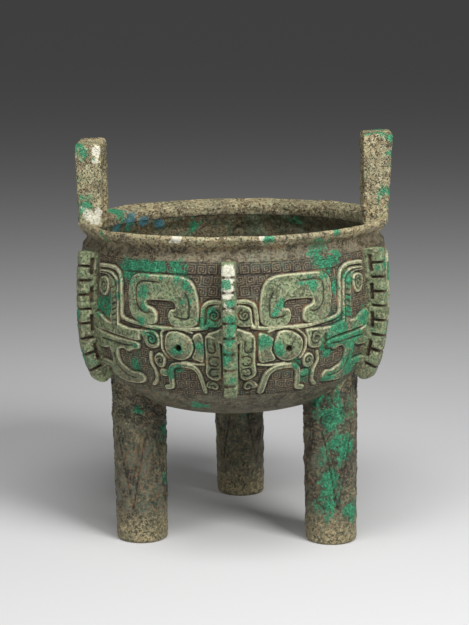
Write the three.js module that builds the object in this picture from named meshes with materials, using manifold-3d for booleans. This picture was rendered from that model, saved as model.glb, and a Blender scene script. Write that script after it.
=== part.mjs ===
// A bronze ding: a round food cauldron on three column legs, with two upright loop handles on its lip,
// six slotted flanges down its wall and three animal masks cast in relief between them.
// It is one casting, so it is one solid. Millimetres, +Z up, feet on z = 0, handles on the X axis,
// the middle of the front mask on -Y.
import * as THREE from "three";
import { mergeVertices } from "three/addons/utils/BufferGeometryUtils.js";
import Module from "manifold-3d";

const wasm = await Module();
wasm.setup();

// Driving dimensions
const belly = { radius: 98.2, widestZ: 150, bottomZ: 79.5, roundness: 2.6, shoulderDraw: 2.2 };
const band = { bottomZ: 104.5, topZ: 187.5, step: 1.1 };
const wall = 5.2;
// The lip flares out to a thin upright edge, and its top is dished: it falls towards the mouth.
const lip = { radius: 98.3, innerRadius: 86.5, bottomZ: 193.4, edgeZ: 198.4, topZ: 202.3, dish: 3.4, round: 1.2 };
const neckRadius = 92.6;
const leg = { circle: 69.5, bottomRadius: 16.1, topRadius: 17.2, edge: 1.2 };
const flange = { count: 6, height: 10.4, rootThickness: 9.6, edgeThickness: 8, bottomZ: 109.5, topZ: 186.4 };
const slot = { count: 8, height: 1.6, depth: 2.3, reach: 7.2 };
const ear = { width: 37, barWidth: 10.2, openingTopZ: 239.5, openingBottomZ: 205.5, corner: 3, rootZ: 191 };
// The handles differ a little: the right one is taller and thicker, and both widen towards the top.
const ears = [
  { side: -1, innerX: 81.2, baseOuterX: 96.6, topOuterX: 97.9, topZ: 251.5 },
  { side: 1, innerX: 82.1, baseOuterX: 97.5, topOuterX: 100.9, topZ: 254.5 },
];
// The casting stands a little askew: its right side is higher and its top leans left, about this height,
// which keeps the middle of its bounding box over the origin.
const lean = { degrees: 1, pivotZ: 151.5 };
const around = 36; // facets round the bowl

const front = -Math.PI / 2;
const halfMask = Math.PI / 3; // from the middle of a mask to its side flange
const reliefSink = 1.4; // how far each raised form reaches into the wall under it

// ---------------------------------------------------------------- solids from three.js geometry

function solidFrom(geometry) {
  const plain = geometry.clone();
  plain.deleteAttribute("normal");
  plain.deleteAttribute("uv");
  const merged = mergeVertices(plain, 1e-4);
  const vertProperties = merged.attributes.position.array;
  const triVerts = new Uint32Array(merged.index.array);
  const solid = new wasm.Manifold(new wasm.Mesh({ numProp: 3, vertProperties, triVerts }));
  if (solid.volume() > 0) return solid;
  triVerts.reverse();
  return new wasm.Manifold(new wasm.Mesh({ numProp: 3, vertProperties, triVerts }));
}

function joined(solids) {
  return solids.reduce((all, one) => all.add(one));
}

// A lathe about +Z from [radius, z] points that start and end on the axis or close on themselves.
function turned(profile, segments) {
  const points = profile.map(([r, z]) => new THREE.Vector2(r, z));
  return new THREE.LatheGeometry(points, segments).rotateX(Math.PI / 2);
}

// ---------------------------------------------------------------- the bowl

// Outer radius of the wall at a height: a superellipse below the widest line, a slight draw-in above.
function bellyRadius(z) {
  if (z >= belly.widestZ) {
    const up = (z - belly.widestZ) / (band.topZ - belly.widestZ);
    return belly.radius - belly.shoulderDraw * up * up;
  }
  const down = Math.min(1, (belly.widestZ - z) / (belly.widestZ - belly.bottomZ));
  return belly.radius * (1 - down ** belly.roundness) ** (1 / belly.roundness);
}

// The same superellipse as [radius, z] points, from the bottom's middle up to a height, grown by `offset`.
function bowlCurve(topZ, steps, offset) {
  const depth = belly.widestZ - belly.bottomZ + offset;
  const radius = belly.radius + offset;
  const end = Math.asin(((belly.widestZ - topZ) / depth) ** (belly.roundness / 2));
  return Array.from({ length: steps + 1 }, (_, i) => {
    const angle = Math.PI / 2 + (end - Math.PI / 2) * (i / steps);
    return [
      i ? radius * Math.cos(angle) ** (2 / belly.roundness) : 0,
      belly.widestZ - depth * Math.sin(angle) ** (2 / belly.roundness),
    ];
  });
}

function bowlOutside() {
  const under = bowlCurve(band.bottomZ - 0.6, 4, -0.4);
  const side = [0, 0.1, 0.27, 0.55, 1].map((share) => {
    const z = THREE.MathUtils.lerp(band.bottomZ, band.topZ, share);
    return [bellyRadius(z), z];
  });
  const rim = [
    [neckRadius, band.topZ + band.step],
    [neckRadius, lip.bottomZ],
    [lip.radius - lip.round, lip.edgeZ],
    [lip.radius, lip.edgeZ + lip.round],
    [lip.radius, lip.topZ - lip.round],
    [lip.radius - lip.round, lip.topZ],
    [0, lip.topZ],
  ];
  return solidFrom(turned([...under, ...side, ...rim], around));
}

function bowlInside() {
  const shoulderZ = band.topZ - 4;
  const mouth = [
    [bellyRadius(shoulderZ) - wall, shoulderZ],
    [neckRadius - wall, band.topZ + 4],
    [lip.innerRadius, lip.topZ - lip.dish],
    [lip.radius - lip.round - 0.2, lip.topZ],
    [lip.radius - lip.round - 0.2, lip.topZ + 0.4],
    [0, lip.topZ + 0.4],
  ];
  return solidFrom(turned([...bowlCurve(belly.widestZ, 4, -wall), ...mouth], around));
}

// ---------------------------------------------------------------- legs and handles

function legSolid(angle) {
  const riseZ = band.bottomZ - 4;
  const profile = [
    [0, 0],
    [leg.bottomRadius - leg.edge, 0],
    [leg.bottomRadius, leg.edge],
    [leg.topRadius, riseZ],
    [0, riseZ],
  ];
  const column = turned(profile, 16);
  column.translate(leg.circle * Math.cos(angle), leg.circle * Math.sin(angle), 0);
  return solidFrom(column);
}

// The outline of a handle and its opening, seen along X and standing `depth` thick.
function earLoop(topZ, depth) {
  const half = ear.width / 2;
  const opening = half - ear.barWidth;
  const archZ = ear.openingTopZ - opening;
  const loop = new THREE.Shape();
  loop.moveTo(-half, ear.rootZ);
  loop.lineTo(half, ear.rootZ);
  loop.lineTo(half, topZ - ear.corner);
  loop.quadraticCurveTo(half, topZ, half - ear.corner, topZ);
  loop.lineTo(-half + ear.corner, topZ);
  loop.quadraticCurveTo(-half, topZ, -half, topZ - ear.corner);
  const eye = new THREE.Path();
  eye.moveTo(-opening, ear.openingBottomZ);
  eye.lineTo(-opening, archZ);
  eye.absarc(0, archZ, opening, Math.PI, 0, true);
  eye.lineTo(opening, ear.openingBottomZ);
  loop.holes.push(eye);
  const slab = new THREE.ExtrudeGeometry(loop, { depth, bevelEnabled: false, curveSegments: 4 });
  return solidFrom(slab.rotateX(Math.PI / 2).rotateZ(Math.PI / 2));
}

// A handle seen along Y: its two faces part upwards, and its foot runs down into the neck.
function earSide({ innerX, baseOuterX, topOuterX, topZ }) {
  const side = new THREE.Shape();
  side.moveTo(innerX, topZ + 1);
  side.lineTo(innerX, lip.topZ - lip.dish);
  side.lineTo(neckRadius - wall + 1.2, ear.rootZ);
  side.lineTo(neckRadius - 2, ear.rootZ);
  side.lineTo(baseOuterX, lip.edgeZ);
  side.lineTo(topOuterX, topZ + 1);
  const slab = new THREE.ExtrudeGeometry(side, { depth: 2 * ear.width, bevelEnabled: false });
  return solidFrom(slab.translate(0, 0, -ear.width).rotateX(Math.PI / 2));
}

function earSolid(one) {
  const solid = earLoop(one.topZ, 2 * lip.radius).intersect(earSide(one));
  return one.side < 0 ? solid.rotate([0, 0, 180]) : solid;
}

// ---------------------------------------------------------------- flanges

// Outer edge of a flange as [radius, z] points: the wall's curve moved out along its own normal.
function flangeEdge(steps) {
  return Array.from({ length: steps + 1 }, (_, i) => {
    const z = THREE.MathUtils.lerp(flange.bottomZ, flange.topZ, i / steps);
    const slope = bellyRadius(z + 0.5) - bellyRadius(z - 0.5);
    const reach = flange.height / Math.hypot(1, slope);
    return [bellyRadius(z) + reach, z - reach * slope];
  });
}

function flangeBlade(angle) {
  const edge = flangeEdge(5);
  const [lowRadius] = edge[0];
  const [highRadius] = edge[edge.length - 1];
  const outline = [
    [lowRadius - 8, band.bottomZ - 2],
    ...edge,
    [highRadius - 3, flange.topZ + 1],
    [neckRadius + 1, flange.topZ + 1],
  ];
  const shape = new THREE.Shape(outline.map(([r, z]) => new THREE.Vector2(r, z)));
  const blade = new THREE.ExtrudeGeometry(shape, { depth: 1, bevelEnabled: false });
  blade.rotateX(Math.PI / 2).translate(0, 0.5, 0);
  const place = blade.attributes.position;
  for (let i = 0; i < place.count; i++) {
    const out = (place.getX(i) - belly.radius) / flange.height;
    place.setY(i, place.getY(i) * THREE.MathUtils.lerp(flange.rootThickness, flange.edgeThickness, out));
  }
  return solidFrom(blade.rotateZ(angle));
}

// Slots run in from the outer edge on both flat sides and leave a solid core between them.
function slotCuts(edgeRadius, z, angle) {
  const outerY = flange.rootThickness / 2 + 1;
  const innerY = flange.edgeThickness / 2 - slot.depth;
  return [-1, 1].map((side) => {
    const box = new THREE.BoxGeometry(slot.reach * 2, outerY - innerY, slot.height);
    box.translate(edgeRadius, (side * (outerY + innerY)) / 2, z);
    return solidFrom(box.rotateZ(angle));
  });
}

function flangeSolid(angle) {
  const slotPoints = flangeEdge(slot.count + 1).slice(1, -1);
  const cuts = slotPoints.flatMap(([radius, z]) => slotCuts(radius, z, angle));
  return flangeBlade(angle).subtract(joined(cuts));
}

// ---------------------------------------------------------------- relief of one half mask

// Relief is laid out flat as [u, z]: u runs along the wall from the mask's middle line, z is height.
// A ribbon is a flat-topped form between matched points of its two edges, [u, z, u, z] a row.
const horn = { left: 17.8, right: 64.6, bottom: 148.6, top: 178.4, corner: 5, tipLeft: 36.7, tipRight: 44.7 };
const hornHollow = { left: 32.8, right: 51.2, bottom: 159.4, top: 163.5, corner: 0.9 };
const ribbons = {
  horn: { height: 2.3, rows: hornRows() },
  tail: {
    height: 1.9,
    rows: [[73.6, 143, 80.8, 146], [73.8, 171, 81.2, 169.5], [78.5, 179, 84, 174.8], [92.5, 180.4, 91.5, 175.4]],
  },
  flank: {
    height: 2.2,
    rows: [[57.5, 145, 60.5, 134], [68, 145.5, 68, 130.2], [97, 150.5, 97, 130]],
  },
  claw: {
    height: 1.9,
    rows: [[76.5, 131, 84.8, 131], [77.5, 122, 85.2, 119], [72, 118.6, 78, 109.4], [61.5, 115, 62.5, 109.8]],
  },
};
// A ridge has one crest along a line of [u, z] points.
const ridges = {
  brow: { width: 3.6, height: 2, line: [[14, 148.2], [32, 146.2], [54, 147.4], [68, 149.2], [71, 154.5]] },
  jaw: { width: 3.8, height: 2.1, line: [[19, 106.8], [21.5, 118], [27, 123.8], [37.5, 124], [41.5, 119], [43.4, 108]] },
};
const bosses = [
  { at: [9.6, 155.6], radius: 6, height: 1.9, sides: 6 },
  { at: [53, 138.4], radius: 5.8, height: 1.9, sides: 5 },
  { at: [10.8, 112], radius: 5.6, height: 1.9, sides: 5 },
  { at: [88.4, 168.2], radius: 5.6, height: 1.9, sides: 5 },
];
const eyeball = { at: [33, 136.6], radius: 9.4, height: 3.8, sides: 8, pupil: 1.9 };
const longestStep = 14; // along the wall, so that flat facets don't sag into its curve
// The halves of a mask are not true mirror images: below the brow the right half sits wider and lower.
const unevenness = { fromU: 20, toU: 60, belowZ: 145, u: 2.4, z: -0.7 };

// The horn is a frame bent round to face itself, so its rows pair the corners of two rounded frames.
function hornRows() {
  const outer = frameCorners(horn);
  const inner = frameCorners(hornHollow);
  const rows = outer.map((point, i) => [...point, ...inner[i]]);
  const leftTip = [horn.tipLeft, horn.bottom + 2.6, horn.tipLeft, hornHollow.bottom - 3];
  const rightTip = [horn.tipRight, horn.bottom + 3.4, horn.tipRight, hornHollow.bottom - 2.6];
  return [leftTip, ...rows, rightTip];
}

function frameCorners({ left, right, bottom, top, corner }) {
  return [
    [left + corner, bottom], [left, bottom + corner], [left, top - corner], [left + corner, top],
    [right - corner, top], [right, top - corner], [right, bottom + corner], [right - corner, bottom],
  ];
}

// Places a flat relief point on the wall. `mask` is the angle of the mask's middle, `side` its half.
function onWall(u, z, lift, mask, side) {
  const { smoothstep } = THREE.MathUtils;
  const { fromU, toU, belowZ } = unevenness;
  const within = smoothstep(u, fromU - 8, fromU + 6) * (1 - smoothstep(u, toU - 6, toU + 8));
  const amount = side * within * (1 - smoothstep(z, belowZ - 5, belowZ + 1));
  const angle = mask + (side * (u + unevenness.u * amount)) / belly.radius;
  const height = z + unevenness.z * amount;
  const radius = bellyRadius(height) + lift;
  return [radius * Math.cos(angle), radius * Math.sin(angle), height];
}

// A closed strip through rows of corners, each row a loop of the same number of [x, y, z] points.
function stripSolid(rows) {
  const size = rows[0].length;
  const end = size * (rows.length - 1);
  const faces = [];
  for (let i = 0; i < end; i += size) {
    for (let k = 0; k < size; k++) {
      const a = i + k;
      const b = i + ((k + 1) % size);
      faces.push(a, b, b + size, a, b + size, a + size);
    }
  }
  for (let k = 1; k < size - 1; k++) {
    faces.push(0, k + 1, k, end, end + k, end + k + 1);
  }
  const geometry = new THREE.BufferGeometry();
  geometry.setAttribute("position", new THREE.Float32BufferAttribute(rows.flat(2), 3));
  geometry.setIndex(faces);
  return solidFrom(geometry);
}

// Adds rows where neighbours are too far apart along the wall.
function refined(rows) {
  return rows.flatMap((row, i) => {
    const next = rows[i + 1];
    if (!next) return [row];
    const steps = Math.ceil(Math.abs(next[0] - row[0]) / longestStep) || 1;
    return Array.from({ length: steps }, (_, k) => row.map((value, n) => value + ((next[n] - value) * k) / steps));
  });
}

function ribbonSolid({ rows, height }, mask, side) {
  const bevel = 0.08; // share of the ribbon's width that slopes at each edge
  return stripSolid(
    refined(rows).map(([u1, z1, u2, z2]) => {
      const across = (share) => [u1 + (u2 - u1) * share, z1 + (z2 - z1) * share];
      return [
        onWall(u1, z1, -reliefSink, mask, side),
        onWall(...across(bevel), height, mask, side),
        onWall(...across(1 - bevel), height, mask, side),
        onWall(u2, z2, -reliefSink, mask, side),
      ];
    }),
  );
}

function ridgeSolid({ line: turns, width, height }, mask, side) {
  const line = refined(turns);
  return stripSolid(
    line.map(([u, z], i) => {
      const [beforeU, beforeZ] = line[Math.max(0, i - 1)];
      const [afterU, afterZ] = line[Math.min(line.length - 1, i + 1)];
      const length = Math.hypot(afterU - beforeU, afterZ - beforeZ);
      const du = ((afterZ - beforeZ) / length) * (width / 2);
      const dz = ((afterU - beforeU) / length) * (width / 2);
      return [
        onWall(u - du, z + dz, -reliefSink, mask, side),
        onWall(u, z, height, mask, side),
        onWall(u + du, z - dz, -reliefSink, mask, side),
      ];
    }),
  );
}

function bossSolid({ at, radius, height, sides, pupil }, mask, side) {
  const crown = pupil ? [[radius, height * 0.3], [radius * 0.62, height * 0.88]] : [[radius * 0.7, height]];
  const dome = turned(
    [
      [0, -reliefSink],
      [radius * 1.15, -reliefSink],
      ...crown,
      [0, height],
    ],
    sides,
  );
  const [x, y, z] = onWall(...at, 0, mask, side);
  const slope = bellyRadius(z + 0.5) - bellyRadius(z - 0.5);
  const turn = Math.atan2(y, x);
  const settle = (geometry) => geometry.rotateY(Math.PI / 2 + Math.atan(slope)).rotateZ(turn).translate(x, y, z);
  const boss = solidFrom(settle(dome));
  if (!pupil) return boss;
  const pit = new THREE.CylinderGeometry(pupil, pupil, 3, 5).rotateX(Math.PI / 2).translate(0, 0, height);
  return boss.subtract(solidFrom(settle(pit)));
}

function maskSolids(mask) {
  return [-1, 1].flatMap((side) => [
    ...Object.values(ribbons).map((form) => ribbonSolid(form, mask, side)),
    ...Object.values(ridges).map((form) => ridgeSolid(form, mask, side)),
    ...[...bosses, eyeball].map((form) => bossSolid(form, mask, side)),
  ]);
}

// ---------------------------------------------------------------- the whole casting

function castVessel() {
  const sixths = Array.from({ length: flange.count }, (_, i) => front + halfMask * i);
  const legAngles = sixths.filter((_, i) => i % 2 === 1);
  const maskAngles = sixths.filter((_, i) => i % 2 === 0);
  const outside = joined([
    bowlOutside(),
    ...legAngles.map(legSolid),
    ...sixths.map(flangeSolid),
    ...maskAngles.flatMap(maskSolids),
  ]);
  return outside.subtract(bowlInside()).add(joined(ears.map(earSolid)));
}

// Tips the casting sideways above its feet, which stay flat on the ground.
function leaned(geometry) {
  const slope = Math.tan(THREE.MathUtils.degToRad(lean.degrees));
  const place = geometry.attributes.position;
  for (let i = 0; i < place.count; i++) {
    const x = place.getX(i);
    const z = place.getZ(i);
    place.setX(i, x - slope * (z - lean.pivotZ));
    place.setZ(i, z + slope * x * Math.min(1, z / belly.bottomZ));
  }
  return geometry;
}

const cast = castVessel().getMesh();
const skin = new THREE.BufferGeometry();
skin.setAttribute("position", new THREE.BufferAttribute(new Float32Array(cast.vertProperties), 3));
skin.setIndex(new THREE.BufferAttribute(new Uint32Array(cast.triVerts), 1));
leaned(skin);
skin.computeVertexNormals();

const bronze = new THREE.MeshStandardMaterial({ color: 0x5f6a4e, roughness: 0.72, metalness: 0.25 });
const vessel = new THREE.Mesh(skin, bronze);
vessel.name = "ding_vessel";

const ding = new THREE.Group();
ding.add(vessel);
export default ding;
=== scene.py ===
import math

import bpy
import numpy as np
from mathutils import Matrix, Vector


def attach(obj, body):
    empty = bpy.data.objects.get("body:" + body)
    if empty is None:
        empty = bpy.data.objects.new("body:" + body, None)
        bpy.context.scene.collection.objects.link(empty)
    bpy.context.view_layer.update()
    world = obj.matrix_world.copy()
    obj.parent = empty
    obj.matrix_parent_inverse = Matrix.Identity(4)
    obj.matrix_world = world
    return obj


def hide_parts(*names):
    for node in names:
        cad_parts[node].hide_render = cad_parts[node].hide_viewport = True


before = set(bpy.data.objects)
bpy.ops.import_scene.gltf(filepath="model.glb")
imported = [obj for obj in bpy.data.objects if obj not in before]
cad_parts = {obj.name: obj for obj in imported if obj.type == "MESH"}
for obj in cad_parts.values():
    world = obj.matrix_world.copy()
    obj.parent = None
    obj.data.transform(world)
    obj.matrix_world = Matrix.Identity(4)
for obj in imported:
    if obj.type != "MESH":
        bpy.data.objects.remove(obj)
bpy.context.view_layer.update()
print("frame loaded")

# Everything below is worked out in millimetres with the feet on z = 0, then leaned and turned into metres.
# u runs along the wall from the middle line of a mask, z is height.
millimetre = 0.001
vessel = {
    "leanDegrees": 1.0,  # right side higher, top to the left
    "leanPivot": 151.5,
    "bottomZ": 79.5,
    "widestZ": 150.0,
    "radius": 98.2,
    "roundness": 2.6,
    "shoulderDraw": 2.2,
    "bandBottom": 104.5,
    "bandTop": 187.5,
    "neckRadius": 92.6,
    "lipRadius": 98.3,
    "lipInner": 86.5,
    "lipBottom": 193.4,
    "lipEdge": 198.4,
    "lipTop": 202.3,
    "lipDish": 3.4,  # the lip's top falls towards the mouth
    "wall": 5.2,
}
maskAngles = [math.radians(a) for a in (-90, 30, 150)]
legAngles = [math.radians(a) for a in (90, 210, 330)]


def smooth(low, high, value):
    t = np.clip((value - low) / (high - low), 0, 1)
    return t * t * (3 - 2 * t)


def leaned(points):
    slope = math.tan(math.radians(vessel["leanDegrees"]))
    x, y, z = points[..., 0], points[..., 1], points[..., 2]
    rise = slope * x * np.clip(z / vessel["bottomZ"], 0, 1)
    return np.stack((x - slope * (z - vessel["leanPivot"]), y, z + rise), -1) * millimetre


def bellyRadius(z):
    z = np.asarray(z, float)
    up = np.clip((z - vessel["widestZ"]) / (vessel["bandTop"] - vessel["widestZ"]), 0, None)
    down = np.clip((vessel["widestZ"] - z) / (vessel["widestZ"] - vessel["bottomZ"]), 0, 1)
    low = vessel["radius"] * (1 - down ** vessel["roundness"]) ** (1 / vessel["roundness"])
    return np.where(z > vessel["widestZ"], vessel["radius"] - vessel["shoulderDraw"] * up**2, low)


# a cheap smooth noise for shaping surfaces: a few seeded sine waves
def makeRipple(seed, wavelength, waves=14):
    dice = np.random.default_rng(seed)
    direction = dice.normal(size=(waves, 3))
    direction /= np.linalg.norm(direction, axis=1)[:, None]
    pitch = 2 * math.pi / (wavelength * dice.uniform(0.6, 1.7, waves))
    phase = dice.uniform(0, 2 * math.pi, waves)

    def ripple(points):
        total = np.zeros(points.shape[:-1])
        for k in range(waves):
            total += np.sin(points @ direction[k] * pitch[k] + phase[k])
        return total / math.sqrt(waves)

    return ripple


coarseRipple = makeRipple(1, 26)
middleRipple = makeRipple(2, 8)
fineRipple = makeRipple(3, 2.6, 20)


def gridPiece(name, points, material, marks, wrap=False, flip=False, capStart=False, capEnd=False):
    rows, cols = points.shape[:2]
    index = np.arange(rows * cols).reshape(rows, cols)
    if wrap:
        index = np.concatenate((index, index[:, :1]), 1)
    quads = np.stack((index[:-1, :-1], index[:-1, 1:], index[1:, 1:], index[1:, :-1]), -1).reshape(-1, 4)
    if flip:
        quads = quads[:, ::-1]
    verts = leaned(points).reshape(-1, 3)
    faces = [tuple(q) for q in quads.tolist()]
    ring = index[0, :-1] if wrap else index[0]
    if capStart:
        faces.append(tuple(int(i) for i in (ring if flip else ring[::-1])))
    ring = index[-1, :-1] if wrap else index[-1]
    if capEnd:
        faces.append(tuple(int(i) for i in (ring[::-1] if flip else ring)))
    mesh = bpy.data.meshes.new(name)
    mesh.from_pydata(verts.tolist(), [], faces)
    for mark, values in marks.items():
        layer = mesh.attributes.new(mark, "FLOAT", "POINT")
        spread = np.broadcast_to(values, (rows, cols))
        layer.data.foreach_set("value", np.ascontiguousarray(spread, np.float32).ravel())
    mesh.polygons.foreach_set("use_smooth", np.ones(len(faces), bool))
    mesh.materials.append(material)
    piece = bpy.data.objects.new(name, mesh)
    bpy.context.collection.objects.link(piece)
    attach(piece, "root")
    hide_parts("ding_vessel")
    return piece


def placed(radius, angle, z):
    radius, angle, z = np.broadcast_arrays(radius, angle, z)
    return np.stack((radius * np.cos(angle), radius * np.sin(angle), z), -1)


# patches of corrosion: places as (x, y, z, reach) in millimetres, 1 in the middle and 0 at the reach
def patchField(points, places):
    field = np.full(points.shape[:-1], -1.0)
    for x, y, z, reach in places:
        offset = points - np.array((x, y, z))
        field = np.maximum(field, 1 - np.linalg.norm(offset, axis=-1) / reach)
    return field


# shader maths
class Wire:
    def __init__(self, tree, socket):
        self.tree = tree
        self.socket = socket

    def maths(self, operation, other, reflected=False):
        pair = (other, self) if reflected else (self, other)
        return self.tree.node("ShaderNodeMath", {"operation": operation}, {0: pair[0], 1: pair[1]})

    def __add__(self, other):
        return self.maths("ADD", other)

    def __sub__(self, other):
        return self.maths("SUBTRACT", other)

    def __mul__(self, other):
        return self.maths("MULTIPLY", other)

    def __radd__(self, other):
        return self.maths("ADD", other, True)

    def __rsub__(self, other):
        return self.maths("SUBTRACT", other, True)

    def __rmul__(self, other):
        return self.maths("MULTIPLY", other, True)

    def clamped(self):
        return self.tree.node("ShaderNodeClamp", {}, {"Value": self})

    def between(self, low, high):  # 0 below low, 1 above high, eased
        settings = {"interpolation_type": "SMOOTHSTEP"}
        inputs = {"Value": self, "From Min": low, "From Max": high}
        return self.tree.node("ShaderNodeMapRange", settings, inputs)


class Tree:
    def __init__(self, nodeTree):
        self.nodes = nodeTree.nodes
        self.links = nodeTree.links

    def node(self, kind, settings, inputs, output=0):
        made = self.nodes.new(kind)
        for key, value in settings.items():
            setattr(made, key, value)
        for key, value in inputs.items():
            if isinstance(value, Wire):
                self.links.new(value.socket, made.inputs[key])
            else:
                made.inputs[key].default_value = value
        return Wire(self, made.outputs[output])

    def mark(self, name):
        return self.node("ShaderNodeAttribute", {"attribute_name": name}, {}, "Fac")

    def noise(self, where, scale, detail=3.0, roughness=0.55, distortion=0.0):
        inputs = {"Vector": where, "Scale": scale, "Detail": detail, "Roughness": roughness}
        inputs["Distortion"] = distortion
        return self.node("ShaderNodeTexNoise", {}, inputs, "Fac")

    def mix(self, share, first, second, blend="MIX"):
        settings = {"data_type": "RGBA", "blend_type": blend}
        made = self.nodes.new("ShaderNodeMix")
        for key, value in settings.items():
            setattr(made, key, value)
        for slot, value in ((0, share), (6, first), (7, second)):
            if isinstance(value, Wire):
                self.links.new(value.socket, made.inputs[slot])
            else:
                made.inputs[slot].default_value = value
        return Wire(self, made.outputs[2])


def tint(red, green, blue):
    def linear(value):
        value /= 255
        return value / 12.92 if value <= 0.04045 else ((value + 0.055) / 1.055) ** 2.4

    return (linear(red), linear(green), linear(blue), 1.0)


patina = {
    "verdigris": tint(28, 132, 92),
    "verdigrisPale": tint(62, 164, 118),
    "verdigrisDeep": tint(18, 78, 56),
    "azurite": tint(70, 124, 138),
    "chalk": tint(226, 222, 202),
    "celadon": tint(136, 150, 110),
    "olive": tint(86, 96, 66),
    "cream": tint(214, 210, 172),
    "sand": tint(176, 160, 122),
    "umber": tint(108, 94, 66),
    "stone": tint(104, 99, 90),
    "ground": tint(76, 68, 60),
    "moss": tint(62, 72, 54),
    "dark": tint(40, 40, 33),
    "earth": tint(96, 72, 54),
    "rust": tint(146, 96, 56),
    "line": tint(22, 20, 16),
}


# a finish: dark mottling, hollow colour, two skin colours, bright grains, dark pits and rust
finishes = {
    "band": {
        "mottle": 0.6, "hollow": "ground", "skin": "olive", "bright": "celadon",
        "grain": 0.55, "pit": 0.8, "rust": 0.45,
    },
    "flange": {
        "mottle": 0.45, "hollow": "earth", "skin": "olive", "bright": "celadon",
        "grain": 0.8, "pit": 0.75, "rust": 0.35,
    },
    "crust": {
        "mottle": 0.3, "hollow": "dark", "skin": "umber", "bright": "sand",
        "grain": 0.95, "pit": 1.0, "rust": 0.25,
    },
    "inside": {
        "mottle": 0.4, "hollow": "dark", "skin": "umber", "bright": "olive",
        "grain": 0.35, "pit": 1.0, "rust": 0.35,
    },
    "leg": {
        "mottle": 0.4, "hollow": "dark", "skin": "moss", "bright": "umber",
        "grain": 0.6, "pit": 1.0, "rust": 0.4,
    },
}


def bronzeMaterial(name):
    finish = finishes[name]
    material = bpy.data.materials.new(name + "Bronze")
    material.use_nodes = True
    tree = Tree(material.node_tree)
    shader = tree.nodes["Principled BSDF"]
    where = tree.node("ShaderNodeTexCoord", {}, {}, "Object")
    raised, lines, thread = tree.mark("raised"), tree.mark("line"), tree.mark("thread")
    broad = tree.noise(where, 30, 4)
    medium = tree.noise(where, 130, 5, 0.62)
    small = tree.noise(where, 460, 4, 0.7)
    grains = tree.noise(where, 1050, 3, 0.7)
    pits = tree.noise(where, 800, 2, 0.6, 0.6)

    hollow = tree.mix(medium.between(0.4, 0.62), patina[finish["hollow"]], patina["stone"])
    hollow = tree.mix(small.between(0.45, 0.62) * 0.7, hollow, patina["earth"])
    hollow = tree.mix(grains.between(0.54, 0.64) * 0.45, hollow, patina["sand"])
    skin = tree.mix(medium.between(0.4, 0.58), patina[finish["skin"]], patina[finish["bright"]])
    skin = tree.mix(broad.between(0.46, 0.6) * 0.35, skin, patina["stone"])
    skin = tree.mix((medium * 0.5 + small * 0.5).between(0.5, 0.58) * finish["mottle"], skin, patina["moss"])
    skin = tree.mix(small.between(0.5, 0.6) * finish["grain"] * 0.6, skin, patina["cream"])
    skin = tree.mix(grains.between(0.52, 0.6) * finish["grain"] * 0.7, skin, patina[finish["bright"]])
    skin = tree.mix(pits.between(0.54, 0.62) * finish["pit"] * 0.85, skin, patina["dark"])
    colour = tree.mix((raised + (medium - 0.5) * 0.4).clamped(), hollow, skin)
    rusty = broad.between(0.5, 0.62) * small.between(0.48, 0.6) * finish["rust"]
    colour = tree.mix(rusty, colour, patina["rust"])
    # painted highlight: sand colour on the ridge tops of the ground's thread pattern
    ridgeHighlights = (tree.mark("ridgeHighlight") * small.between(0.36, 0.56) * 0.6).clamped()
    colour = tree.mix(ridgeHighlights, colour, patina["sand"])
    colour = tree.mix((thread * 0.85).clamped(), colour, patina["line"])
    # painted highlight: a cream line along the top edges of the band's raised forms (edge mark)
    colour = tree.mix((tree.mark("edge") * small.between(0.3, 0.5) * 0.75).clamped(), colour, patina["cream"])
    earthy = tree.mark("crust") * (small * 0.5 + grains * 0.5).between(0.42, 0.56)
    colour = tree.mix(earthy.clamped(), colour, patina["sand"])
    chalk = (tree.mark("chalk") * 1.4 + (small - 0.5) * 1.2 + (grains - 0.5) * 0.8 - 0.25).between(0.05, 0.3)
    colour = tree.mix(chalk * 0.9, colour, patina["chalk"])
    azurite = (tree.mark("azurite") * 1.4 + (medium - 0.5) * 2 + (grains - 0.5) - 0.45).between(0.05, 0.35)
    colour = tree.mix(azurite * 0.8, colour, patina["azurite"])
    green = tree.mark("verdigris") + (broad - 0.5) * 1.2 + (medium - 0.5) * 3.6
    green = green + (small - 0.5) * 1.8 + (grains - 0.5)
    verdigris = tree.mix(small.between(0.42, 0.6), patina["verdigris"], patina["verdigrisPale"])
    verdigris = tree.mix(grains.between(0.44, 0.56) * 0.75, verdigris, patina["verdigrisDeep"])
    colour = tree.mix(green.between(0.12, 0.6) * 0.92, colour, verdigris)
    # a thin green bloom over everything
    bloom = (broad * 0.5 + medium * 0.5).between(0.46, 0.58) * grains.between(0.48, 0.6) * 0.5
    colour = tree.mix(bloom, colour, verdigris)
    # colour of the line mark: dark grooves, slots and pits, and on the lip a painted shadow under its
    # overhang
    grooveAndShadowColour = tree.mix(medium.between(0.5, 0.64) * 0.7, patina["line"], patina["rust"])
    colour = tree.mix((lines * 0.88).clamped(), colour, grooveAndShadowColour)
    tree.links.new(colour.socket, shader.inputs["Base Color"])
    roughness = (small * 0.3 + 0.42).clamped()
    tree.links.new(roughness.socket, shader.inputs["Roughness"])
    shader.inputs["Metallic"].default_value = 0.0
    shader.inputs["Specular IOR Level"].default_value = 0.4
    height = small * 0.5 + grains * 0.4 - pits.between(0.54, 0.62) * 0.5
    bump = tree.node("ShaderNodeBump", {}, {"Strength": 1.0, "Distance": 0.0011, "Height": height})
    tree.links.new(bump.socket, shader.inputs["Normal"])
    return material


bandBronze = bronzeMaterial("band")
flangeBronze = bronzeMaterial("flange")
crustBronze = bronzeMaterial("crust")
insideBronze = bronzeMaterial("inside")
legBronze = bronzeMaterial("leg")
print("patinas mixed")


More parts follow.
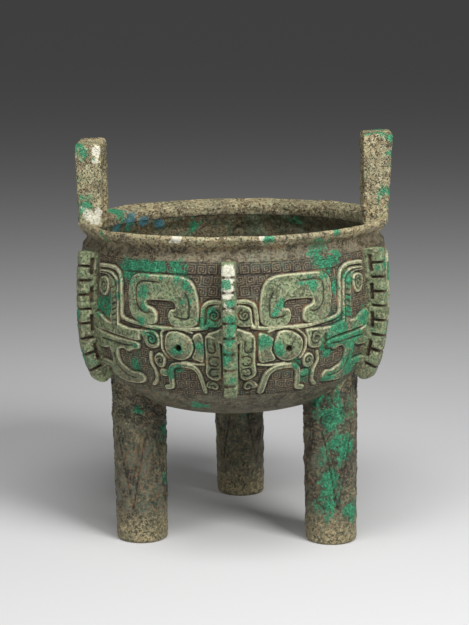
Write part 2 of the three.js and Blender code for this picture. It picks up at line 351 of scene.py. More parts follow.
# relief of the band
relief = {
    "cell": 0.5,  # grid step in mm
    "raise": 1.55,  # height of the broad forms
    "edge": 0.7,  # width of their sloping sides
    "threadPitch": 1.3,  # thread pattern of the ground
    "threadSquare": 6.5,
    "threadTop": 179.6,  # a height where two rows of squares meet
    "borderZ": 179.3,  # incised line near the top of the ground
    "threadDepth": 0.6,
    "lineDepth": 0.75,
    "uneven": 2.4,  # the right half of each face sits wider and lower
}


def rounded(points, closed=False, steps=6):
    line = np.asarray(points, float)
    if closed:
        line = np.vstack((line[-1:], line, line[:2]))
    else:
        line = np.vstack((2 * line[:1] - line[1:2], line, 2 * line[-1:] - line[-2:-1]))
    out = []
    for k in range(len(line) - 3):
        a, b, c, d = line[k : k + 4]
        for t in np.arange(steps) / steps:
            bend = 2 * a - 5 * b + 4 * c - d
            twist = 3 * b - a - 3 * c + d
            out.append(0.5 * (2 * b + (c - a) * t + bend * t * t + twist * t**3))
    if not closed:
        out.append(line[-2])
    return np.array(out)


def lineDistance(u, z, line):
    best = np.full(u.shape, 1e9)
    for (au, az), (bu, bz) in zip(line[:-1], line[1:]):
        du, dz = bu - au, bz - az
        share = np.clip(((u - au) * du + (z - az) * dz) / (du * du + dz * dz + 1e-12), 0, 1)
        best = np.minimum(best, (u - au - share * du) ** 2 + (z - az - share * dz) ** 2)
    return np.sqrt(best)


def plateDepth(u, z, outline):  # distance to the outline, positive inside
    loop = np.vstack((outline, outline[:1]))
    inside = np.zeros(u.shape, bool)
    for (au, az), (bu, bz) in zip(loop[:-1], loop[1:]):
        if az == bz:
            continue
        crosses = (az > z) != (bz > z)
        inside ^= crosses & (u < (bu - au) * (z - az) / (bz - az) + au)
    away = lineDistance(u, z, loop)
    return np.where(inside, away, -away)


def spiral(centre, radius, turns, start=0.0, squash=1.0, steps=40):
    t = np.linspace(0, 1, steps)
    angle = start + turns * 2 * math.pi * t
    reach = radius * (1 - t) + 0.35 * t
    return np.column_stack((centre[0] + reach * np.cos(angle), centre[1] + squash * reach * np.sin(angle)))


hornOutline = [
    (37.0, 155), (36, 151), (33, 148.6), (25, 148.1), (19.3, 150), (17.8, 155), (18, 164), (20, 172.5),
    (24, 177), (31, 178.8), (45, 179), (58, 178.7), (62.8, 176), (64.4, 171), (64.8, 163), (63.6, 155.5),
    (60.5, 151.2), (54, 149), (48, 148.9), (45, 150.5), (44.2, 153.8), (44.9, 157.2), (47, 159.2),
    (50.4, 160.2), (51.3, 161.6), (50.2, 163.4), (42, 163.8), (35, 163.6), (33, 162.2), (32.3, 160.2),
    (33.2, 158.9), (35.8, 158.4),
]
plates = {
    "horn": {"height": 1.0, "outline": hornOutline},
    "forehead": {
        "height": 0.55,
        "outline": [(4, 161.4), (10, 161.3), (13, 159), (13.6, 152), (13.8, 149), (4, 150)],
    },
    "noseWing": {
        "height": 0.8,
        "outline": [(3.6, 147.6), (9, 146.4), (13.4, 144.4), (8.5, 141.3), (3.6, 138.2)],
    },
    "nose": {"height": 0.6, "outline": [(6, 141), (10, 143), (14.6, 143), (14.8, 128), (15, 118), (6, 117)]},
    "noseCurl": {"height": 0.75, "outline": spiral((11, 110.8), 5.7, 1).tolist()[:-8:4]},
    "cheek": {
        "height": 0.75,
        "outline": [
            (16.4, 144), (21.5, 144), (24.2, 140), (22.6, 135), (25.2, 129.2), (21, 127.6), (16.6, 128),
        ],
    },
    "earCurl": {
        "height": 0.75,
        "outline": [
            (46, 145), (52, 145.4), (58.5, 144.6), (57, 139), (55, 134.8), (50.6, 133.6), (46.6, 135),
            (45.2, 139),
        ],
    },
    "leaf": {
        "height": 0.8,
        "outline": [
            (42.6, 127), (44, 130.4), (47, 131.2), (50, 129), (50.4, 125), (48, 121.8), (44.4, 122.6),
        ],
    },
    "smallLeaf": {
        "height": 0.6, "outline": [(43, 120.4), (47, 121), (48.6, 118.6), (46.6, 116.2), (43, 116.6)],
    },
    "tail": {
        "height": 0.85,
        "outline": [
            (74.2, 143), (74, 158), (74.2, 170), (76, 175.2), (80, 178), (86, 178.4), (93, 177.8),
            (93, 175.4), (87, 175.6), (83.2, 174), (81.2, 169), (81, 158), (81, 147),
        ],
    },
    "tailCurl": {
        "height": 0.7,
        "outline": [
            (84, 173), (88, 174.4), (92.4, 172.8), (93.4, 168), (91, 163.4), (87, 162.4), (84.2, 165),
            (83.4, 169),
        ],
    },
    "flank": {
        "height": 0.9,
        "outline": [
            (57, 144.8), (66, 145.6), (75, 147.4), (84, 147), (91, 150.2), (98, 151), (98, 142),
            (88, 140.9), (78, 139.8), (68, 138.8), (60, 137.6), (59, 141),
        ],
    },
    "arm": {
        "height": 0.9,
        "outline": [
            (59.6, 134.6), (61.5, 137), (68, 138), (80, 139), (90, 140), (98, 141), (98, 130.4),
            (90, 129.6), (84.6, 130.6), (84.8, 121.6), (91, 121.8), (98, 121.4), (98, 117.6), (91, 116.8),
            (88.6, 112), (82, 108.8), (74, 108.6), (66, 109.2), (61.4, 111.4), (60.8, 115), (64, 117.6),
            (68.4, 117.2), (72.4, 119.2), (76.4, 121.6), (77.2, 127), (75.6, 131), (71, 131.6),
            (67.6, 130.2), (64, 131.8), (61, 132),
        ],
    },
}
ribs = {
    "brow": {
        "height": 0.8,
        "half": 1.25,
        "line": [
            (13.6, 148.6), (20, 147.6), (31, 147.4), (45, 147.2), (58, 148.8), (67.6, 150.2),
            (70.8, 152.4), (71.4, 158), (71.6, 168), (72.4, 175), (75.4, 179.2), (82, 180.8), (93, 180.4),
        ],
    },
    "frame": {
        "height": 0.8, "half": 1.35,
        "line": [(4, 163.6), (10.6, 163.6), (14.6, 161.2), (15.8, 156), (16.2, 148.6)],
    },
    "jaw": {
        "height": 0.85,
        "half": 1.75,
        "line": [
            (18.4, 107.4), (19.4, 114), (21.2, 120), (26, 123.6), (36, 124.2), (40, 121.4), (41.4, 115),
            (42.8, 109.6), (46.6, 108.4),
        ],
    },
    "browUnder": {
        "height": 0.6, "half": 0.8,
        "line": [(22.6, 145.2), (32, 147.9), (40, 146.2), (43.6, 142), (44.2, 134), (41, 128.6)],
    },
    "whisker": {"height": 0.6, "half": 0.8, "line": [(16.4, 125.6), (24, 125.4), (32, 126.2)]},
    "claw": {
        "height": 0.7, "half": 1.1,
        "line": [(52.6, 131), (53.6, 125), (51.4, 119), (52.8, 113), (57, 109.4)],
    },
}
incised = {
    "hornLeft": [(32.6, 154.4), (27.4, 153.5), (24.2, 154), (23.6, 158.6), (24, 164), (26.2, 168.6)],
    "hornTop": [
        (43, 174.4), (52, 174.9), (57.2, 173.4), (59, 169.4), (58.6, 163), (56.8, 158.4), (52.6, 155.8),
        (48.8, 156.8),
    ],
    "foreheadSpiral": spiral((8.8, 155.6), 3.9, 1.75, 2.0),
    "noseHook": [(13.4, 141.6), (13, 134.4), (10.2, 133.2), (8.6, 134.6), (9, 139.6)],
    "noseRound": [(7, 130.4), (11, 130.8), (12.8, 128.6), (12, 125.6), (8.6, 124.8), (7.4, 126.4)],
    "noseLow": [(7.4, 122.6), (11.4, 123), (12.8, 120.4), (11.4, 118.2), (8, 118.6)],
    "noseSpiral": spiral((11, 110.8), 4.3, 1.6, 0.5),
    "earSpiral": spiral((51.2, 139.4), 4.2, 1.5, 1.4),
    "leafSpiral": spiral((46.6, 126.6), 2.6, 1.2, 0.6),
    "tailSpiral": spiral((88.4, 168.6), 3.6, 1.5, 2.2, 1.35),
    "armLine": [(64, 134.6), (72, 134.4), (80, 135.4), (92, 135.6)],
    "clawLine": [(80.6, 128), (80.8, 120.4), (76, 114.6), (68, 113)],
    "tailEdge": [(75.6, 146), (75.6, 168), (78, 174), (84, 176.6), (91, 176.6)],
}
eye = {"centre": (32.9, 136.7), "radius": 9.3, "height": 1.75, "pupil": (33.0, 135.4), "pupilRadius": 1.9}


# height above the wall and colour marks over one half mask
def halfRelief(u, z, side):
    within = smooth(12, 26, u) * (1 - smooth(54, 68, u)) * (1 - smooth(140, 146, z))
    du = u - relief["uneven"] * side * within
    dz = z + 0.7 * side * within
    depth = np.full(u.shape, -1e9)
    height = np.zeros(u.shape)
    for form in plates.values():
        inside = plateDepth(du, dz, rounded(form["outline"], True, 3))
        depth = np.maximum(depth, inside)
        height = np.maximum(height, form["height"] * smooth(-0.15, relief["edge"], inside))
    for form in ribs.values():
        inside = form["half"] - lineDistance(du, dz, rounded(form["line"], False, 4))
        depth = np.maximum(depth, inside)
        height = np.maximum(height, form["height"] * smooth(-0.15, relief["edge"], inside))
    fromEye = np.hypot(du - eye["centre"][0], dz - eye["centre"][1])
    ball = eye["radius"] - fromEye
    dome = eye["height"] * np.sqrt(np.clip(1 - (fromEye / (eye["radius"] + 0.6)) ** 2, 0, 1))
    depth = np.where(ball > -0.9, ball, depth)
    height = np.where(ball > 0, dome, np.where(ball > -0.9, 0, height))
    height = height * (1 - 0.22 * smooth(2.2, 4.5, depth) * (ball < 0))  # broad forms are dished
    lines = np.zeros(u.shape)
    for line in incised.values():
        lines = np.maximum(lines, 1 - smooth(0.2, 0.75, lineDistance(du, dz, rounded(line, False, 3))))
    stripes = np.abs((z + 0.45 * u + 1.6) % 3.4 - 1.7)
    onTail = smooth(75.8, 76.6, u) * (1 - smooth(79.6, 80.4, u))
    onTail = onTail * smooth(147, 150, z) * (1 - smooth(168, 171, z))
    lines = np.maximum(lines, (1 - smooth(0.25, 0.7, stripes)) * onTail)
    raised = smooth(-0.2, 0.5, depth)
    outline = 1 - smooth(0.25, 0.85, np.abs(depth + 0.45))
    ground = 1 - smooth(-1.1, -0.5, depth)
    size = relief["threadSquare"]
    row = np.floor((z - relief["threadTop"]) / size)
    cu = ((u + 0.5 * size * (row % 2)) % size) - size / 2
    cz = ((z - relief["threadTop"]) % size) - size / 2
    around = np.arctan2(cz, cu) / (2 * math.pi)
    thread = 0.5 + 0.5 * np.cos(2 * math.pi * (np.maximum(abs(cu), abs(cz)) / relief["threadPitch"] + around))
    thread = thread * ground
    border = 1 - smooth(0.2, 0.7, np.abs(z - relief["borderZ"]))
    lines = np.maximum(lines, np.maximum(border * ground * (u < 70), 0.9 * outline))
    fromPupil = np.hypot(du - eye["pupil"][0], dz - eye["pupil"][1])
    pupil = 1 - smooth(eye["pupilRadius"] - 0.5, eye["pupilRadius"] + 0.3, fromPupil)
    lift = relief["raise"] * height - relief["lineDepth"] * lines - relief["threadDepth"] * thread
    lift = lift * (1 - pupil) - 1.2 * pupil
    # painted highlight along the top edges of the raised forms, just inside their outlines
    edge = 1 - smooth(0.2, 0.75, np.abs(depth - 0.45))
    # painted highlight on the ridges between the thread grooves of the ground
    ridgeHighlight = ground * (1 - thread) ** 2
    return lift, raised, np.maximum(lines, pupil), thread, edge, ridgeHighlight


def greenPlaces(mask):  # green patches of a mask as (u, z, reach); the front one has its own
    if mask == 0:
        return [
            (66, 185, 9), (58, 187, 5), (68, 169, 3.5), (50, 171.5, 3.5), (45, 172, 2), (31, 161.5, 4),
            (27, 157, 2.5), (21, 139.5, 4), (29, 136, 4), (78, 172, 4.5), (78.5, 160, 3), (77, 152, 4),
            (70, 147, 6), (64, 135, 6), (74, 136, 7), (86, 136, 9), (92, 146, 6), (82, 122, 7),
            (86, 115, 6), (90, 119, 6), (68, 113, 5), (48, 118, 4.5), (42, 125, 3), (-63, 181, 7),
            (-52, 183, 7), (-45, 183, 5), (-30, 182.5, 6), (-26, 174, 4.5), (-53, 168, 4.5),
            (-54, 159, 3.5), (-28, 164, 4.5), (-13, 150, 5), (-10, 158, 3), (-17.5, 138, 4),
            (-48, 142, 5), (-43, 146, 3), (-86, 158, 6), (-92, 154, 6), (-73, 172, 4), (-74, 163, 3),
            (-36, 122, 3.5), (-38, 117, 4), (-32, 123.5, 2.5), (-59.5, 135, 3), (-64, 121, 3.5),
            (-56, 151, 3), (-31, 134, 3),
        ]
    dice = np.random.default_rng(40 + mask)
    return [(dice.uniform(-98, 98), dice.uniform(108, 187), dice.uniform(2, 6.5)) for _ in range(34)]


def makeBand():
    cell = relief["cell"]
    rows = int(round(96 / cell))
    z = vessel["bandBottom"] + (vessel["bandTop"] - vessel["bandBottom"]) * np.linspace(0, 1, rows) ** 1.12
    halfLength = math.pi / 3 * vessel["radius"]
    u = np.linspace(0, halfLength, int(round(halfLength / cell)))
    gridU, gridZ = np.meshgrid(u, z)
    for side in (-1, 1):
        lift, raised, lines, thread, edge, ridgeHighlight = halfRelief(gridU, gridZ, side)
        for mask, angle in enumerate(maskAngles):
            around = angle + side * gridU / vessel["radius"]
            flat = placed(vessel["radius"], around, gridZ)
            wear = 0.16 * middleRipple(flat) + 0.07 * fineRipple(flat)
            radius = bellyRadius(gridZ) + lift * (1 + 0.08 * coarseRipple(flat)) + wear
            green = np.full(gridU.shape, -1.0)
            for pu, pz, reach in greenPlaces(mask):
                green = np.maximum(green, 1 - np.hypot(side * gridU - pu, gridZ - pz) / (1.35 * reach))
            # edge and ridge are painted highlights: cream along the raised forms' edges, sand on the thread
            # ridges
            marks = {"raised": raised, "line": lines, "thread": thread, "edge": edge, "ridgeHighlight": ridgeHighlight}
            marks["verdigris"] = green
            name = f"band{mask}{'right' if side > 0 else 'left'}"
            gridPiece(name, placed(radius, around, gridZ), bandBronze, marks, flip=side < 0)


makeBand()
print("band cast")


# flanges
flange = {
    "height": 10.4,
    "buried": 2.0,  # how far its root reaches into the wall
    "root": 9.2,
    "edge": 7.6,
    "bottomZ": 109.5,
    "topZ": 187.4,
    "slots": 8,
    "slotWidth": 1.5,
    "slotDepth": 2.3,
    "slotReach": 7.2,
    "barWidth": 1.8,
    "barHeight": 10.5,
    "cell": 0.55,
    "tipRound": 5.0,
}


def makeFlange(number, angle):
    cell = flange["cell"]
    along = np.linspace(0, 1, int(96 / cell))
    z = flange["bottomZ"] + (flange["topZ"] - flange["bottomZ"]) * along
    slope = bellyRadius(z + 0.5) - bellyRadius(z - 0.5)
    normal = 1 / np.hypot(1, slope)
    # both ends are rounded off
    span = flange["topZ"] - flange["bottomZ"]
    fromEnd = np.clip(np.minimum(along, (1 - along) * 3) * span / flange["tipRound"], 0, 1)
    proud = flange["height"] * (0.5 + 0.5 * np.sqrt(1 - (1 - fromEnd) ** 2))
    rootR, rootZ = bellyRadius(z) - flange["buried"] * normal, z + flange["buried"] * normal * slope
    tipR, tipZ = bellyRadius(z) + proud * normal, z - proud * normal * slope
    fullReach = flange["height"] + flange["buried"]
    halfWay = np.linspace(0, 1, int(fullReach / cell))  # out along a side
    face = np.linspace(-1, 1, int(flange["edge"] / cell) + 1)[1:-1]
    out = np.concatenate((halfWay, np.ones(len(face)), halfWay[::-1]))
    across = np.concatenate((np.full(len(halfWay), -1.0), face, np.full(len(halfWay), 1.0)))
    outGrid, alongGrid = np.meshgrid(out, along)
    width = (flange["root"] + (flange["edge"] - flange["root"]) * outGrid) / 2
    offset = across[None, :] * width
    radius = rootR[:, None] + (tipR - rootR)[:, None] * outGrid
    height = rootZ[:, None] + (tipZ - rootZ)[:, None] * outGrid
    # slots in from the edge, every other one ending in an upright bar
    reach = (1 - outGrid) * fullReach
    slotMark = np.zeros(outGrid.shape)
    pitch = 1 / (flange["slots"] + 1)
    dash = (flange["topZ"] - flange["bottomZ"]) * 1.06
    for k in range(flange["slots"]):
        away = np.abs(alongGrid - 1 + pitch * (k + 1)) * dash
        slotLine = 1 - smooth(flange["slotWidth"] / 2 - 0.3, flange["slotWidth"] / 2 + 0.3, away)
        slotLine = slotLine * (1 - smooth(flange["slotReach"], flange["slotReach"] + 0.5, reach))
        slotMark = np.maximum(slotMark, slotLine)
        if k % 2 == 0:
            bar = 1 - smooth(flange["barHeight"] / 2 - 0.3, flange["barHeight"] / 2 + 0.3, away)
            fromBar = np.abs(reach - flange["slotReach"])
            bar = bar * (1 - smooth(flange["barWidth"] / 2, flange["barWidth"] / 2 + 0.5, fromBar))
            slotMark = np.maximum(slotMark, bar)
    limit = width - flange["slotDepth"] * slotMark
    # softly rounded outer corners
    rounding = smooth(0.9, 1.0, outGrid) * smooth(0.72, 1.0, np.abs(offset) / width) * 0.7
    offset = np.clip(offset, -limit, limit)
    angleGrid = angle + offset / np.maximum(radius, 1)
    points = placed(radius - rounding, angleGrid, height)
    wear = 0.14 * middleRipple(points) + 0.08 * fineRipple(points)
    points = placed(radius - rounding + wear, angleGrid, height)
    green = patchField(points, flangeGreen)
    marks = {"raised": 1 - slotMark, "line": slotMark * 0.65, "verdigris": green}
    marks["chalk"] = patchField(points, flangeChalk)
    gridPiece(f"flange{number}", points, flangeBronze, marks, flip=True, capStart=True, capEnd=True)


frontEdge = -vessel["radius"] - 10  # y of the front flange's edge
flangeGreen = [
    (0, frontEdge, 175, 4), (2, frontEdge, 164, 3), (1, frontEdge, 152, 6), (0, frontEdge, 143, 5),
    (-1, frontEdge, 134, 8), (1, frontEdge + 2, 115, 5), (95, -50, 178, 9), (98, -56, 160, 7),
    (90, -48, 140, 8), (-96, -52, 150, 6), (-90, -50, 120, 7),
]
flangeChalk = [(0, frontEdge, 182, 8), (-1, frontEdge, 172, 7), (0, frontEdge, 163, 4)]
for number in range(6):
    makeFlange(number, -math.pi / 2 + number * math.pi / 3)
print("flanges cast")


# lip, neck, inside and underside
def latheRows(profile, step):
    line = np.asarray(profile, float)
    length = np.concatenate(([0], np.cumsum(np.hypot(*np.diff(line, axis=0).T))))
    at = np.arange(0, length[-1], step)
    return np.interp(at, length, line[:, 0]), np.interp(at, length, line[:, 1]), at


def cornered(profile, radius=1.0):  # rounds the corners of a profile
    line = [np.asarray(p, float) for p in profile]
    out = [line[0]]
    for before, here, after in zip(line[:-2], line[1:-1], line[2:]):
        back, ahead = before - here, after - here
        cut = min(radius, np.linalg.norm(back) / 2.1, np.linalg.norm(ahead) / 2.1)
        a = here + back / np.linalg.norm(back) * cut
        b = here + ahead / np.linalg.norm(ahead) * cut
        out += [(1 - t) ** 2 * a + 2 * t * (1 - t) * here + t * t * b for t in (0, 0.33, 0.67, 1)]
    return out + [line[-1]]


def makeRim():
    v = vessel
    profile = cornered(
        [
            (bellyRadius(v["bandTop"]) - 0.3, v["bandTop"] - 0.6),
            (bellyRadius(v["bandTop"]) - 0.2, v["bandTop"] + 0.2),
            (v["neckRadius"] + 2.2, v["bandTop"] + 0.9), (v["neckRadius"] + 0.4, v["bandTop"] + 3.6),
            (v["neckRadius"], v["lipBottom"]), (v["lipRadius"] - 1.2, v["lipEdge"]),
            (v["lipRadius"], v["lipEdge"] + 1.2), (v["lipRadius"], v["lipTop"] - 1.2),
            (v["lipRadius"] - 1.2, v["lipTop"]), (v["lipInner"] + 0.6, v["lipTop"] - v["lipDish"]),
            (v["lipInner"] + 0.2, v["lipTop"] - v["lipDish"] - 2.6),
            (v["neckRadius"] - v["wall"], v["bandTop"] + 4),
        ],
        0.9,
    )
    radius, z, _ = latheRows(profile, 0.75)
    angle = np.linspace(0, 2 * math.pi, 680, endpoint=False)
    angleGrid, radiusGrid = np.meshgrid(angle, radius)
    zGrid = np.repeat(z[:, None], len(angle), 1)
    flat = placed(radiusGrid, angleGrid, zGrid)
    lipShare = smooth(v["lipBottom"] - 1, v["lipBottom"] + 1, zGrid)
    pits = np.clip(fineRipple(flat * 1.3) - 1.2, 0, 1) * 0.5
    dent = (0.28 * middleRipple(flat) + 0.2 * fineRipple(flat)) * (0.4 + 0.6 * lipShare) - pits * lipShare
    points = placed(radiusGrid + dent, angleGrid, zGrid + 0.32 * coarseRipple(flat) * lipShare)
    # painted shadow in the corner under the lip: the lip's underside and the top of the neck are darkened
    # where the overhang casts shade
    shade = smooth(v["lipBottom"] - 3, v["lipBottom"] + 1.5, zGrid)
    shade = shade * (1 - smooth(v["lipBottom"] + 2, v["lipBottom"] + 4, zGrid))
    shade = shade * (radiusGrid > v["neckRadius"] - 1)
    # the line mark here darkens the pits and paints the shadow under the lip
    marks = {"raised": 0.3 + 0.65 * lipShare, "line": np.maximum(pits * 0.6, 0.55 * shade)}
    marks["verdigris"] = patchField(points, rimGreen)
    marks["chalk"] = patchField(points, rimChalk)
    marks["azurite"] = patchField(points, azuritePlaces)
    gridPiece("lipAndNeck", points, crustBronze, marks, wrap=True)


def wallPoint(u, z):
    angle = -math.pi / 2 + u / vessel["radius"]
    return (vessel["radius"] * math.cos(angle), vessel["radius"] * math.sin(angle), z)


rimGreen = [
    (*wallPoint(60, 190), 10), (*wallPoint(72, 189), 6), (*wallPoint(-88, 197), 5),
    (*wallPoint(24, 200), 4), (*wallPoint(-50, 190), 6), (*wallPoint(-28, 190), 5), (88, 30, 202, 6),
    (-80, 45, 200, 8), (*wallPoint(70, 200), 4),
]
rimChalk = [(-30, -93.5, 200.5, 4.5), (-34, -92, 198, 2.5), (20, -96, 201, 3)]
azuritePlaces = [
    (-72, 52, 193, 11), (-62, 62, 191, 9), (-52, 70, 188, 7), (-78, 40, 188, 9), (14, 86, 176, 5),
]


def bowlProfile(offset, fromZ, steps):
    depth = vessel["widestZ"] - vessel["bottomZ"] + offset
    radius = vessel["radius"] + offset
    n = vessel["roundness"]
    end = math.asin(max(0.0, (vessel["widestZ"] - fromZ) / depth) ** (n / 2))
    angle = np.linspace(end, math.pi / 2, steps)
    z = vessel["widestZ"] - depth * np.sin(angle) ** (2 / n)
    return np.column_stack((radius * np.cos(angle) ** (2 / n), z))


def makeInside():
    v = vessel
    shoulderZ = v["bandTop"] - 4
    top = [(v["neckRadius"] - v["wall"], v["bandTop"] + 4.2), (bellyRadius(shoulderZ) - v["wall"], shoulderZ)]
    profile = np.vstack((top, bowlProfile(-v["wall"], v["widestZ"], 40)))
    radius, z, _ = latheRows(profile, 1.3)
    radius = np.append(radius, 0.4)
    z = np.append(z, z[-1])
    angle = np.linspace(0, 2 * math.pi, 400, endpoint=False)
    angleGrid, radiusGrid = np.meshgrid(angle, radius)
    zGrid = np.repeat(z[:, None], len(angle), 1)
    flat = placed(radiusGrid, angleGrid, zGrid)
    # a small ring-shaped scar on the back wall
    scar = np.abs(np.hypot(flat[..., 0] - scarPlace[0], flat[..., 2] - scarPlace[1]) - scarPlace[2])
    scar = (1 - smooth(0.5, 1.6, scar)) * (flat[..., 1] > 0)
    dent = 0.34 * middleRipple(flat) + 0.3 * fineRipple(flat)
    points = placed(np.maximum(radiusGrid + dent + 0.7 * scar, 0.2), angleGrid, zGrid)
    marks = {"raised": 0.8 - 0.35 * smooth(10, 60, flat[..., 0]), "line": scar * 0.9}
    marks["verdigris"] = patchField(points, insideGreen)
    marks["azurite"] = patchField(points, azuritePlaces)
    gridPiece("bowlInside", points, insideBronze, marks, wrap=True, capEnd=True)


scarPlace = (1.5, 178.5, 4.4)  # x, z and radius
insideGreen = [
    (-70, 50, 190, 8), (-30, 82, 186, 7), (40, 76, 188, 6), (70, 45, 180, 8), (10, 20, 86, 14),
    (-40, -30, 92, 12),
]


def makeUnderside():
    profile = bowlProfile(-0.4, vessel["bandBottom"] - 0.4, 60)
    profile = np.vstack(([(bellyRadius(vessel["bandBottom"]), vessel["bandBottom"] + 0.3)], profile))
    radius, z, _ = latheRows(profile, 1.4)
    radius = np.append(radius, 0.4)
    z = np.append(z, z[-1])
    angle = np.linspace(0, 2 * math.pi, 320, endpoint=False)
    angleGrid, radiusGrid = np.meshgrid(angle, radius)
    zGrid = np.repeat(z[:, None], len(angle), 1)
    flat = placed(radiusGrid, angleGrid, zGrid)
    dent = 0.2 * middleRipple(flat) * (radiusGrid > 20)
    points = placed(np.maximum(radiusGrid + dent, 0.2), angleGrid, zGrid)
    marks = {"raised": 0.45, "verdigris": patchField(points, [(60, -40, 98, 8), (-20, -70, 96, 8)])}
    gridPiece("bowlUnderside", points, legBronze, marks, wrap=True, capEnd=True, flip=True)


makeRim()
makeInside()
makeUnderside()
print("bowl cast")


# legs
leg = {"circle": 69.5, "foot": 16.1, "top": 17.2, "round": 1.6, "topZ": 106, "trimZ": 60.0, "incision": 1.1}


def bladeLines(angle, z):  # hanging blades with spirals between them, four round the leg
    blades = 4
    turn = (angle / (2 * math.pi) * blades) % 1 - 0.5
    across = turn * 2 * math.pi * leg["foot"] / blades
    width = np.clip((z - 22) / 52, 0, 1) * 9.6
    edge = np.abs(np.abs(across) - width)
    inner = np.abs(np.abs(across) - np.clip(width - 2.6, 0, None))
    hanging = (z > 22) & (z < 76)
    lines = (1 - smooth(0.2, 0.7, edge)) * hanging
    lines = np.maximum(lines, (1 - smooth(0.2, 0.6, inner)) * hanging * (width > 3) * 0.7)
    for centre, radius in ((83, 5.2), (96, 5.2)):
        for offset in (-0.25, 0.25):
            cu = ((turn - offset + 0.5) % 1 - 0.5) * 2 * math.pi * leg["foot"] / blades
            cz = z - centre
            away = np.hypot(cu, cz)
            swirl = np.abs(((away / 2.1 + np.arctan2(cz, cu) / (2 * math.pi)) % 1) - 0.5)
            lines = np.maximum(lines, (1 - smooth(0.1, 0.26, swirl)) * (away < radius) * 0.8)
    return lines


def wallMiddle(radius):  # height of the middle of the bowl's wall over a point of the ground
    reach = vessel["radius"] - vessel["wall"] / 2
    depth = vessel["widestZ"] - vessel["bottomZ"] - vessel["wall"] / 2
    n = vessel["roundness"]
    return vessel["widestZ"] - depth * (1 - np.clip(radius / reach, 0, 1) ** n) ** (1 / n)


def makeLeg(number, angle):
    profile = cornered([(0.3, 0.0), (leg["foot"], 0.0), (leg["top"], leg["topZ"])], leg["round"])
    radius, z, _ = latheRows(profile, 0.95)
    around = np.linspace(0, 2 * math.pi, 112, endpoint=False)
    aroundGrid, radiusGrid = np.meshgrid(around, radius)
    zGrid = np.repeat(z[:, None], len(around), 1)
    cx, cy = leg["circle"] * math.cos(angle), leg["circle"] * math.sin(angle)
    flat = placed(radiusGrid, aroundGrid, zGrid) + np.array((cx, cy, 0))
    side = smooth(1.0, 3.0, zGrid)
    lines = bladeLines(aroundGrid - angle, zGrid) * side
    wear = (0.3 * middleRipple(flat) + 0.16 * fineRipple(flat)) * side
    radiusGrid = np.maximum(radiusGrid + wear - leg["incision"] * lines, 0.2)
    points = placed(radiusGrid, aroundGrid, zGrid) + np.array((cx, cy, 0))
    # the column ends inside the bowl's wall, following its curve
    inWall = wallMiddle(np.hypot(points[..., 0], points[..., 1]))
    above = np.clip((zGrid - leg["trimZ"]) / (leg["topZ"] - leg["trimZ"]), 0, 1)
    points[..., 2] = np.where(zGrid > leg["trimZ"], leg["trimZ"] + above * (inWall - leg["trimZ"]), zGrid)
    crust = 0.45 + 0.4 * (1 - smooth(6, 24, zGrid)) + 0.3 * coarseRipple(flat)
    marks = {"raised": crust, "line": lines * 0.9, "verdigris": patchField(points, legGreen)}
    marks["crust"] = (1 - smooth(2, 26, zGrid + 5 * coarseRipple(flat))) * 0.8
    marks["crust"] = marks["crust"] + 0.35 * smooth(0.6, 1.6, middleRipple(flat))
    gridPiece(f"leg{number}", points, legBronze, marks, wrap=True, capStart=True)


legGreen = [
    (61, -51, 84, 16), (68, -50, 62, 13), (60, -51, 42, 10), (58, -51, 28, 11), (52, -49, 92, 9),
    (72, -46, 20, 9), (-46, -40, 70, 8), (-45, -38, 40, 6), (-60, -51, 88, 4), (8, 53, 60, 5),
    (-2, 53, 82, 5),
]
for number, angle in enumerate(legAngles):
    makeLeg(number, angle)
print("legs cast")


# handles
ear = {
    "width": 37.0,
    "bar": 10.2,
    "archTop": 239.5,
    "round": 2.2,
    "rootZ": 191.0,
    "tiltFrom": 225.0,  # above this height the top slopes down to one end
    "left": {
        "side": -1, "inner": 81.2, "baseOuter": 96.6, "topOuter": 97.9, "topZ": 251.8, "corner": 3.0,
        "tilt": 1.6,
    },
    "right": {
        "side": 1, "inner": 82.1, "baseOuter": 97.5, "topOuter": 100.9, "topZ": 254.6, "corner": 4.5,
        "tilt": 0.2,
    },
}


